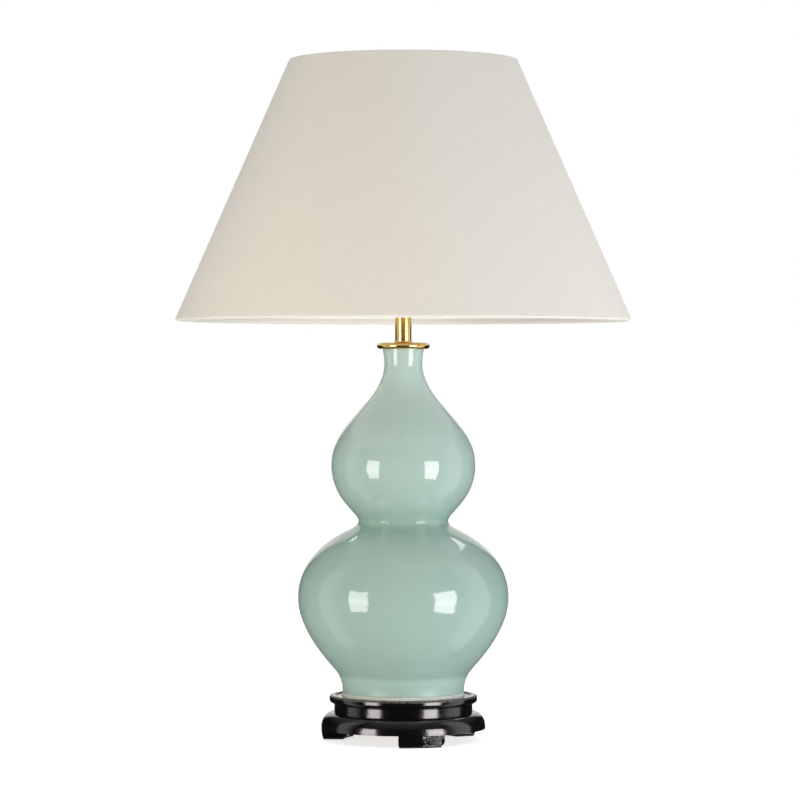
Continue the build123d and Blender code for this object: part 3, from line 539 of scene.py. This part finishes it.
def foot_ring(across, width):
    """A foot's closed section at a place across it, and how far the lacquer wears through there."""
    gap = min(across, width - across)
    tuck = 0.0
    if gap < FOOT_EASE:
        tuck = FOOT_EASE - math.sqrt(max(0.0, FOOT_EASE**2 - (FOOT_EASE - gap) ** 2))
    low = FOOT_LOW + foot_corner(across, width) + tuck
    z = low + (FOOT_TOP - low) * np.linspace(0, 1, FOOT_ROWS)
    near_low = np.clip(FOOT_EASE - (z - low), 0, FOOT_EASE)
    eased = FOOT_EASE - np.sqrt(FOOT_EASE**2 - near_low**2)
    depth, ridge = carving(np.full(FOOT_ROWS, across), z)
    toe = toe_radius(z) - tuck - eased - depth
    heel_r, slant_top = FOOT_HEEL_R + tuck, FOOT_LOW + FOOT_SLANT
    heel = [(heel_r, h) for h in np.linspace(FOOT_TOP, max(slant_top, low), 8)]
    slant_z = np.linspace(slant_top, low, 5)[1:] if low < slant_top else np.full(4, low)
    heel += [(heel_r + max(0.0, slant_top - h), h) for h in slant_z]
    inner_r, outer_r = heel[-1][0], toe[0]
    sole = [(inner_r + (outer_r - inner_r) * k / 8, low) for k in range(1, 8)]
    top = [(toe[-1] + (heel_r - toe[-1]) * k / 6, FOOT_TOP) for k in range(1, 6)]
    ring = list(zip(toe, z)) + top + heel + sole
    return ring, np.concatenate([ridge**2, np.zeros(len(ring) - FOOT_ROWS)])


def make_foot(index):
    """One bracket foot: a closed section at each place across it, with quads between them."""
    width = FOOT_SPAN * FOOT_TOE_R
    places = foot_places(width)
    rings, wear_and_sheen = zip(*(foot_ring(across, width) for across in places))
    count = len(rings[0])
    verts = []
    for across, ring in zip(places, rings):
        a = foot_start(index) + across / FOOT_TOE_R
        verts += [(r * MM * math.cos(a), r * MM * math.sin(a), h * MM) for r, h in ring]
    faces = []
    for i in range(len(rings) - 1):
        for j in range(count):
            k = (j + 1) % count
            here, there = i * count, (i + 1) * count
            faces.append((here + j, there + j, there + k, here + k))
    faces.append(tuple(range(count)))
    last = (len(rings) - 1) * count
    faces.append(tuple(last + count - 1 - j for j in range(count)))
    name = f"stand_foot_{index + 1}"
    foot = new_object(f"carved_foot_{index + 1}", verts, faces, [LACQUER.material])
    foot.data.set_sharp_from_angle(angle=SOFT_EDGE)
    # the mask that marks wear and painted highlight on the plate; on the feet it marks only wear on the
    # carved ridges
    layer = foot.data.attributes.new("wear_and_sheen", "FLOAT", "POINT")
    layer.data.foreach_set("value", np.concatenate(wear_and_sheen).astype(np.float32))
    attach(foot, "base")
    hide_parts(name)


def make_pads():
    """Three felt pads cut to the soles, with softened edges."""
    inner, outer, left, right, soft = 59.9, 80.35, 0.9, 3.2, 0.35
    steps = 24
    verts = []
    faces = []
    levels = [(soft, 0.0), (soft * 0.3, soft * 0.3), (0.0, soft), (0.0, 1.2), (0.5, 1.22)]
    for index in range(FOOT_COUNT):
        start = foot_start(index)
        a0, a1 = start + left / FOOT_TOE_R, start + FOOT_SPAN - right / FOOT_TOE_R
        first = len(verts)
        for inset, z in levels:
            b0, b1 = a0 + inset / 70, a1 - inset / 70
            edge = [(outer - inset, b0 + (b1 - b0) * k / steps) for k in range(steps + 1)]
            edge += [(inner + inset, b1 - (b1 - b0) * k / steps) for k in range(steps + 1)]
            verts += [(r * MM * math.cos(a), r * MM * math.sin(a), z * MM) for r, a in edge]
        count = 2 * (steps + 1)
        for level in range(len(levels) - 1):
            for j in range(count):
                k = (j + 1) % count
                low, high = first + level * count, first + (level + 1) * count
                faces.append((low + j, low + k, high + k, high + j))
        for level in (0, len(levels) - 1):
            base = first + level * count
            for k in range(steps):
                quad = (base + k, base + k + 1, base + count - 2 - k, base + count - 1 - k)
                faces.append(quad[::-1] if level == 0 else quad)
    pads = new_object("felt_pads", verts, faces, [PAINTS["felt"].material])
    pads.data.set_sharp_from_angle(angle=SOFT_EDGE)
    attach(pads, "base")
    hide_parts("foot_pads")


for foot_index in range(FOOT_COUNT):
    make_foot(foot_index)
make_pads()


# ---- Plate


# Sizes of the plate, in millimetres.
PLATE_LOW, PLATE_TOP, PLATE_EDGE_R, RIM_INNER_R = 37.5, 45.5, 74.0, 67.5
PLATE_FLOOR, PLATE_HOLE_R = 42.8, 5.15


def quarter(radius, height, size, start, count=6):
    """Points of a quarter turn round a centre, counterclockwise from an angle."""
    turns = np.radians(np.linspace(start, start + 90, count + 1))
    return [(radius + size * math.cos(a), height + size * math.sin(a)) for a in turns]


def make_plate():
    """The plate that the vase stands in: its rim wears through at the edges and has a painted grey
    highlight along its outer top edge, with a low ledge inside.
    """
    under, ease, inner = 3.5, 2.2, 0.6
    outline = quarter(PLATE_EDGE_R - under, PLATE_LOW + under, under, -90)
    outline += [(PLATE_EDGE_R, PLATE_LOW + under + 0.3), (PLATE_EDGE_R, PLATE_TOP - ease - 0.3)]
    first = len(outline)
    outline += quarter(PLATE_EDGE_R - ease, PLATE_TOP - ease, ease, 0)
    outline += [(PLATE_EDGE_R - ease - 0.3, PLATE_TOP), (RIM_INNER_R + inner + 0.3, PLATE_TOP)]
    second = len(outline)
    outline += quarter(RIM_INNER_R + inner, PLATE_TOP - inner, inner, 90)
    ledge = [(67.42, 44.62), (67.25, 44.50), (66.9, 44.45), (62.4, 44.35), (61.8, 44.3)]
    ledge += [(61.4, 44.1), (61.2, 43.7), (61.2, 43.0)]
    floor = [(61.0, PLATE_FLOOR), (60.6, PLATE_FLOOR), (5.5, PLATE_FLOOR)]
    hole = [(PLATE_HOLE_R, 42.7), (PLATE_HOLE_R, 37.7), (5.4, PLATE_LOW)]
    outline += ledge + floor + hole + [(70.1, PLATE_LOW)]
    plate = revolved("lacquered_plate", [(r * MM, z * MM) for r, z in outline], EVEN_TURNS, [LACQUER])
    wear_and_sheen = np.zeros((len(EVEN_TURNS), len(outline)), np.float32)
    uneven = 0.5 + 0.5 * np.sin(3 * EVEN_TURNS + 1.0) * np.sin(7 * EVEN_TURNS + 0.4)
    # painted grey highlight along the outer top edge, over some wear
    wear_and_sheen[:, first + 1 : first + 7] = (1.4 + 0.8 * uneven)[:, None]
    # wear along the inner top edge
    wear_and_sheen[:, second : second + 4] = (0.8 + 1.0 * uneven)[:, None]
    layer = plate.data.attributes.new("wear_and_sheen", "FLOAT", "POINT")
    layer.data.foreach_set("value", wear_and_sheen.reshape(-1))
    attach(plate, "base")
    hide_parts("stand_plate")


make_plate()


# ---- Bulb cap


def make_bulb_cap():
    """The pressed screw cap with its rolled thread, a thin cup that is open at the top."""
    heights = [v.co.z for v in nodes["bulb_cap"].data.vertices]
    low, top = min(heights) / MM, max(heights) / MM
    pitch, depth, sheet, crest = 3.63, 0.95, 0.45, 13.1
    start, end = low + 1.5, top - 2.5
    turns = np.arange(144) * TAU / 144
    z = np.concatenate([np.linspace(start, end, 74), np.linspace(end, top, 9)[1:]])
    swell = np.interp(z, [start, start + 2.4, end - 2.2, end], [0, 1, 1, 0])
    neck = np.interp(z, [end, top], [0.0, 1.0])
    climb = z[None, :] / pitch - turns[:, None] / TAU
    wave = 0.5 - 0.5 * np.cos(TAU * climb)
    outer = crest - depth * (swell * wave + 0.75 * (1 - swell) * (1 - neck))
    outer = np.where(z > end, crest - 0.75 * depth + (1.0 + 0.75 * depth) * neck, outer)
    foot = [(0.0, low), (4.0, low), (10.6, low), (11.2, low + 0.2), (crest - depth, start - 0.5)]
    inside_foot = [(crest - depth - sheet, start + 0.1)]
    inside_foot += [(radius, low + 0.5) for radius in (10.4, 4.0, 0.0)]
    count = len(foot) + 2 * len(z) + len(inside_foot)
    verts = np.empty((len(turns), count, 3))
    for i, turn in enumerate(turns):
        ring = foot + list(zip(outer[i], z)) + list(zip(outer[i][::-1] - sheet, z[::-1])) + inside_foot
        ring = np.array(ring) * MM
        verts[i, :, 0] = ring[:, 0] * math.cos(turn)
        verts[i, :, 1] = ring[:, 0] * math.sin(turn)
        verts[i, :, 2] = ring[:, 1]
    faces = []
    for i in range(len(turns)):
        here, there = i * count, (i + 1) % len(turns) * count
        faces += [(here + j, there + j, there + j + 1, here + j + 1) for j in range(count - 1)]
    cap = new_object("threaded_cap", verts.reshape(-1, 3), faces, [PAINTS["bulb_metal"].material])
    welded = bmesh.new()
    welded.from_mesh(cap.data)
    bmesh.ops.remove_doubles(welded, verts=welded.verts, dist=1e-6)
    welded.to_mesh(cap.data)
    welded.free()
    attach(cap, "bulb")
    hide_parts("bulb_cap")


make_bulb_cap()


# ---- Shade


SHADE_TOP = (0.1140, 0.6797)
SHADE_BOTTOM = (0.2280, 0.4201)
RISE = SHADE_TOP[1] - SHADE_BOTTOM[1]
RUN = SHADE_BOTTOM[0] - SHADE_TOP[0]
SLANT = math.hypot(RISE, RUN)

# Sizes of the cloth and its hems, in millimetres: how deep its middle lies below the shade's
# surface, and where the ring wires lie from the shade's edge.
CLOTH_T, CLOTH_DEEP = 0.62, 0.4
WIRE_UP, WIRE_DEEP, WIRE_R, WIRE_ROOM = 2.35, 3.25, 1.55, 0.4
HEM_ROWS, SKIN_ROWS = 10, 120
SEAM_TURN = math.pi / 2 + 0.006  # at the back
SEAM_OVERRUN = 0.10  # degrees before the seam at which the cloth begins and ends


def on_shade(up, deep):
    """Radius and height of a point up the shade's side and a depth inside it, in millimetres."""
    sin_t, cos_t = RUN / SLANT, RISE / SLANT
    return (
        SHADE_BOTTOM[0] - up * MM * sin_t - deep * MM * cos_t,
        SHADE_BOTTOM[1] + up * MM * cos_t - deep * MM * sin_t,
    )


def hem_line(side):
    """Half of the cloth's section round a ring wire, as (from the edge, depth), skin end first."""
    half = CLOTH_T / 2 if side == "out" else -CLOTH_T / 2
    skin = CLOTH_DEEP - half
    if side == "out":
        line = [(skin + 1.2, skin), (skin + 0.4, skin + 0.05), (skin, 0.9)]
    else:
        line = [(skin + 1.0, skin), (skin + 0.2, skin + 0.1), (skin, 1.3)]
    r = WIRE_R + WIRE_ROOM + half
    for i in range(HEM_ROWS + 1):
        a = math.radians(180 - 120 * i / HEM_ROWS)
        line.append((WIRE_UP + r * math.cos(a), WIRE_DEEP + r * math.sin(a)))
    for up, deep in ((4.45, 3.40), (4.75, 2.85), (5.05, 2.40), (5.5, 2.1)):
        line.append((up, deep + half))
    return line


def cloth_side(side):
    """One face of the cloth from its lower hem to its upper one, as (up the slant, depth)."""
    slant = SLANT / MM
    hem = hem_line(side)
    skin = CLOTH_DEEP - (CLOTH_T / 2 if side == "out" else -CLOTH_T / 2)
    line = hem[::-1]
    line += [(up, skin) for up in np.linspace(3.0, slant - 3.0, SKIN_ROWS)]
    line += [(slant - up, deep) for up, deep in hem]
    return line


def seam_lift(past):
    """How far the cloth stands out where its end laps over its start, by the distance past the end."""
    return float(np.interp(past, [-0.35, 0.0, 9.5, 21.0], [0.0, 0.55, 0.50, 0.0]))


def lap_seam(cloth, turns, outline, outer_count):
    """Lift the outer face of the cloth where its end laps over its start."""
    for i, turn in enumerate(turns):
        for j, (radius, _) in enumerate(outline[:outer_count]):
            lift = seam_lift((turn - SEAM_TURN) * radius / MM) * MM
            if lift > 0:
                vertex = cloth.data.vertices[i * len(outline) + j]
                vertex.co.x += lift * math.cos(turn)
                vertex.co.y += lift * math.sin(turn)


def add_weave(cloth, turns, outside, inside):
    """Store each point's place on the flat cloth, which the weave of the material follows."""
    along = [0.0]
    middle = [((a[0] + b[0]) / 2, (a[1] + b[1]) / 2) for a, b in zip(outside, inside)]
    for a, b in zip(middle, middle[1:]):
        along.append(along[-1] + math.hypot(b[0] - a[0], b[1] - a[1]) * MM)
    along = np.array(along + along[::-1])
    flat_r = SLANT * SHADE_BOTTOM[0] / RUN
    spread = SHADE_BOTTOM[0] / flat_r
    weave = np.zeros((len(turns), len(along), 3), np.float32)
    for i, turn in enumerate(turns):
        weave[i, :, 0] = (turn - SEAM_TURN) * spread * (flat_r - along * 0.5)
        weave[i, :, 1] = along
    layer = cloth.data.attributes.new("weave", "FLOAT_VECTOR", "POINT")
    layer.data.foreach_set("vector", weave.reshape(-1))


def make_shade():
    """The shade's cloth, hemmed round both ring wires and lapped at the back."""
    outside, inside = cloth_side("out"), cloth_side("in")
    outline = [on_shade(up, deep) for up, deep in outside + inside[::-1]]
    near = SEAM_TURN + np.radians([-SEAM_OVERRUN, -0.04, 0.0] + [0.5 * i for i in range(1, 23)])
    away = np.linspace(near[-1], SEAM_TURN + TAU - math.radians(SEAM_OVERRUN), 340)[1:-1]
    turns = np.concatenate([near, away])
    cloth = revolved("shade_cloth", outline, turns, [CLOTH])
    lap_seam(cloth, turns, outline, len(outside))
    add_weave(cloth, turns, outside, inside)
    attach(cloth, "shade")
    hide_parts("shade_cover")


make_vase()
make_shade()


# ---- Stage


def stage_object(name, verts, material, **settings):
    """A flat piece of the studio: one face through the given points."""
    obj = new_object(name, verts, [tuple(range(len(verts)))], [material], smooth=False)
    for key, value in settings.items():
        setattr(obj, key, value)
    obj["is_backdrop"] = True


def floor_material():
    """Pale floor: the camera sees it white, darker where the lamp shades it."""
    p = Paint("floor", (0.90, 0.90, 0.90), 0.9)
    ray = p.node("ShaderNodeLightPath").outputs["Is Camera Ray"]
    p.set("Specular IOR Level", 0.0)
    p.set("Emission Color", (1, 1, 1, 1))
    p.set("Emission Strength", p.ramp(ray, 0, 1, 0.32, 0.70))
    return p.material


def card_material(name, color, strength, across, ends, streak=0.0):
    """Light that runs from one strength to another across a card, brighter along its middle line."""
    material = bpy.data.materials.new(name)
    material.use_nodes = True
    tree = material.node_tree
    tree.nodes.clear()
    node = partial(add_node, tree)
    where = node("ShaderNodeTexCoord").outputs["Object"]
    side = node("ShaderNodeVectorMath", {0: where, 1: tuple(across)}, operation="DOT_PRODUCT")
    (x0, share0), (x1, share1) = ends
    values = {0: side.outputs["Value"], 1: x0, 2: x1, 3: share0 * strength, 4: share1 * strength}
    fade = node("ShaderNodeMapRange", values, interpolation_type="SMOOTHSTEP").outputs[0]
    height = node("ShaderNodeSeparateXYZ", {0: where}).outputs["Z"]
    height = node("ShaderNodeMath", {0: height}, operation="ABSOLUTE").outputs[0]
    line = node("ShaderNodeMapRange", {0: height, 1: 0.02, 2: 0.12, 3: 1 + streak, 4: 1.0}).outputs[0]
    power = node("ShaderNodeMath", {0: fade, 1: line}, operation="MULTIPLY").outputs[0]
    glow = node("ShaderNodeEmission", {"Color": (*color, 1), "Strength": power})
    node("ShaderNodeOutputMaterial", {"Surface": glow.outputs[0]})
    return material


def around_camera(azimuth, elevation=0.0):
    """Direction from the lamp, with the azimuth counted to the right of the camera, in degrees."""
    a = math.radians(azimuth)
    e = math.radians(elevation)
    flat = TO_CAMERA * math.cos(a) + TO_RIGHT * math.sin(a)
    return flat * math.cos(e) + Vector((0, 0, math.sin(e)))


UNSEEN = {  # all but glossy rays pass the cards by
    "visible_camera": False,
    "visible_diffuse": False,
    "visible_transmission": False,
    "visible_volume_scatter": False,
    "visible_shadow": False,
}
WARM = (1.0, 0.935, 0.925)
WHITE = (1.0, 1.0, 1.0)


def rounded_card(name, azimuth, elevation, distance, width, height, corner, color, strength, **look):
    """A card that only reflections show, facing the lamp."""
    to_card = around_camera(azimuth, elevation)
    centre = Vector((0, 0, 0.15)) + to_card * distance
    side = Vector((0, 0, 1)).cross(to_card).normalized()
    up = to_card.cross(side)
    ends = look.get("ends", ((-width, 1.0), (width, 1.0)))
    material = card_material(name, color, strength, side, ends, look.get("streak", 0.0))
    verts = []
    for sx, sy, start in ((1, 1, 0), (-1, 1, 90), (-1, -1, 180), (1, -1, 270)):
        for i in range(9):
            t = math.radians(start + i * 90 / 8)
            x = sx * (width / 2 - corner) + corner * math.cos(t)
            y = sy * (height / 2 - corner) + corner * math.sin(t)
            verts.append(side * x + up * y)
    stage_object(name, verts, material, location=centre, **UNSEEN)


def card_through(name, directions, strength):
    """A small card whose corners lie in the given directions, seen from the vase's shoulder."""
    verts = [around_camera(*d) * 3.0 + around_camera(d[0] * 0.3) * 0.05 for d in directions]
    centre = sum(verts, Vector()) / len(verts)
    material = card_material(name, WHITE, strength, TO_RIGHT, ((-1, 1.0), (1, 1.0)))
    corners = [v - centre for v in verts]
    where = centre + Vector((0, 0, 0.2))
    stage_object(name, corners, material, location=where, **UNSEEN)


def softbox_light(name, azimuth, elevation, distance, width, height, power, color):
    """A rectangular light that faces the lamp and shows in no reflection."""
    to_light = around_camera(azimuth, elevation)
    data = bpy.data.lights.new(name, "AREA")
    data.shape = "RECTANGLE"
    data.size = width
    data.size_y = height
    data.energy = power
    data.color = color
    light = bpy.data.objects.new(name, data)
    light.location = Vector((0, 0, 0.30)) + to_light * distance
    light.rotation_euler = (-to_light).to_track_quat("-Z", "Y").to_euler()
    light.visible_camera = False
    light.visible_glossy = False
    scene.collection.objects.link(light)


FLOOR_CORNERS = [(-6.0, -6.0, 0), (6.0, -6.0, 0), (6.0, 6.0, 0), (-6.0, 6.0, 0)]
stage_object("floor", FLOOR_CORNERS, floor_material(), visible_glossy=False)

rounded_card("softbox_left", -48.6, -1.4, 1.6, 0.61, 0.92, 0.02, WARM, 8.6, streak=0.25)
rounded_card("softbox_right", 45.4, -2.2, 1.6, 0.70, 0.95, 0.02, (1.0, 0.935, 0.955), 10.2, streak=0.25)
rounded_card(
    "reflector_left", -83.5, 0, 1.8, 1.31, 4.6, 0.30, WHITE, 0.82, ends=((-0.10, 1.0), (0.38, 0.0))
)
rounded_card(
    "reflector_right", 84.5, 0, 1.8, 1.45, 4.6, 0.30, WHITE, 1.15, ends=((-0.72, 0.0), (0.0, 1.0))
)
card_through("glint_left", [(-162.5, 35.5), (-150.5, 38.5), (-150.0, 45.0), (-162.0, 43.0)], 3.4)
card_through("glint_right", [(157.8, 39.0), (151.0, 34.0), (131.5, 46.8)], 3.4)

softbox_light("key_left", -33, -3, 1.35, 0.8, 0.44, 6.2, (1.0, 0.93, 0.75))
softbox_light("key_right", 63, -3, 1.35, 0.8, 0.44, 7.3, (0.985, 1.0, 1.04))
softbox_light("fill_back", 176, 0, 1.75, 1.2, 0.55, 5.0, WHITE)


def make_world():
    """White to the camera; a soft fill; a dark room with a bright ceiling and back in reflections."""
    world = bpy.data.worlds.new("studio")
    world.use_nodes = True
    scene.world = world
    tree = world.node_tree
    tree.nodes.clear()
    node = partial(add_node, tree)
    path = node("ShaderNodeLightPath")
    direction = node("ShaderNodeTexCoord").outputs["Generated"]
    toward = node(
        "ShaderNodeVectorMath", {0: direction, 1: tuple(TO_CAMERA)}, operation="DOT_PRODUCT"
    ).outputs["Value"]
    aside = node(
        "ShaderNodeVectorMath", {0: direction, 1: tuple(TO_RIGHT)}, operation="DOT_PRODUCT"
    ).outputs["Value"]
    height = node("ShaderNodeSeparateXYZ", {0: direction}).outputs["Z"]
    away = node("ShaderNodeMath", {0: aside, 1: 0.022}, operation="ADD").outputs[0]
    away = node("ShaderNodeMath", {0: away}, operation="ABSOLUTE").outputs[0]
    limit = node("ShaderNodeMapRange", {0: height, 1: 0.02, 2: 0.22, 3: 0.20, 4: 0.335}).outputs[0]
    share = node("ShaderNodeMath", {0: away, 1: limit}, operation="DIVIDE").outputs[0]
    narrow = node("ShaderNodeMapRange", {0: share, 1: 1.08, 2: 0.92}).outputs[0]
    behind = node("ShaderNodeMapRange", {0: toward, 1: -0.5, 2: -0.6}).outputs[0]
    low = node("ShaderNodeMapRange", {0: height, 1: 0.56, 2: 0.50}).outputs[0]
    sweep = node("ShaderNodeMath", {0: narrow, 1: behind}, operation="MULTIPLY").outputs[0]
    sweep = node("ShaderNodeMath", {0: sweep, 1: low}, operation="MULTIPLY").outputs[0]
    above = node("ShaderNodeMapRange", {0: height, 1: 0.30, 2: 0.95, 4: 0.35}).outputs[0]
    bright = node("ShaderNodeMath", {0: sweep, 1: above}, operation="MAXIMUM").outputs[0]
    room = node("ShaderNodeMapRange", {0: bright, 1: 0, 2: 1, 3: 0.015, 4: 1.0}).outputs[0]
    soft = node("ShaderNodeMapRange", {0: height, 1: 0.0, 2: 1.0, 3: 0.57, 4: 0.44}).outputs[0]
    fill = node("ShaderNodeMix", {0: path.outputs["Is Glossy Ray"], 2: soft, 3: room}).outputs[0]
    seen = node(
        "ShaderNodeMath",
        {0: path.outputs["Is Camera Ray"], 1: path.outputs["Is Transmission Ray"]},
        operation="MAXIMUM",
    ).outputs[0]
    strength = node("ShaderNodeMix", {0: seen, 2: fill, 3: 1.0}).outputs[0]
    tints = {0: path.outputs["Is Glossy Ray"], 6: (1, 1, 1, 1), 7: (1.0, 0.94, 0.92, 1)}
    tint = node("ShaderNodeMix", tints, data_type="RGBA").outputs[2]
    back = node("ShaderNodeBackground", {"Color": tint, "Strength": strength})
    node("ShaderNodeOutputWorld", {"Surface": back.outputs[0]})


make_world()


# ---- Camera


CAMERA_AWAY, CAMERA_HEIGHT = 3.392, 0.366
AIM_HEIGHT, AIM_LEFT = 0.340, 0.0033
FOCAL_LENGTH, SENSOR_WIDTH = 152.64, 36


def make_camera():
    """The camera at the photograph's distance, height and framing."""
    data = bpy.data.cameras.new("camera")
    data.lens = FOCAL_LENGTH
    data.sensor_width = SENSOR_WIDTH
    camera = bpy.data.objects.new("camera", data)
    camera.location = TO_CAMERA * CAMERA_AWAY + Vector((0, 0, CAMERA_HEIGHT))
    aim = Vector((0, 0, AIM_HEIGHT)) - TO_RIGHT * AIM_LEFT
    camera.rotation_euler = (aim - camera.location).to_track_quat("-Z", "Y").to_euler()
    scene.collection.objects.link(camera)
    scene.camera = camera


make_camera()

scene.view_settings.view_transform = "Standard"

size_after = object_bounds()


def plain(value):
    if isinstance(value, dict):
        return {k: plain(v) for k, v in value.items()}
    if isinstance(value, (list, tuple)) or hasattr(value, "__len__") and not isinstance(value, str):
        return [plain(v) for v in value]
    return value


{"frame": plain(size_before), "scene": plain(size_after)}
